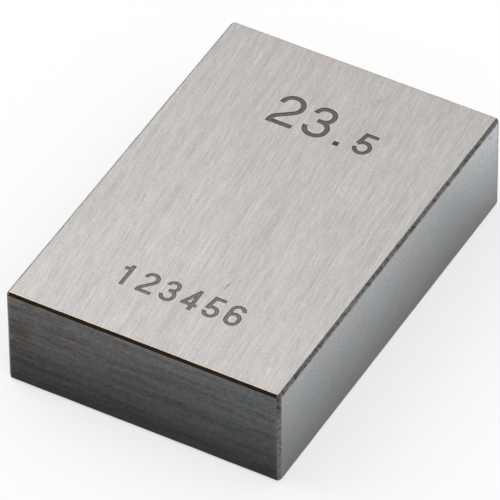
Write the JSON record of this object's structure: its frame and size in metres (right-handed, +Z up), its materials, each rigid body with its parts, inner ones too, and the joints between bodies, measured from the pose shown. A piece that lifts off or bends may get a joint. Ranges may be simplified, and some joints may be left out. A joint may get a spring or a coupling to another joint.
{
  "type": "gauge block",
  "caption": "Rectangular steel gauge block with two lapped measuring faces and an etched size mark; a length standard for setting and checking gauges.",
  "frame": {"origin": "middle of the plain 35 mm side that the block rests on", "axes": "+X measuring direction, square to the lapped faces; +Y along the 35 mm length towards the far end; +Z up through the 9 mm thickness to the marked side"},
  "size_m": [0.0234, 0.035, 0.009],
  "materials": {
    "hardened_steel": "fine ground sides, lapped measuring faces, dark etched figures"
  },
  "bodies": {
    "root": {"gauge_block": "hardened_steel"}
  },
  "joints": []
}
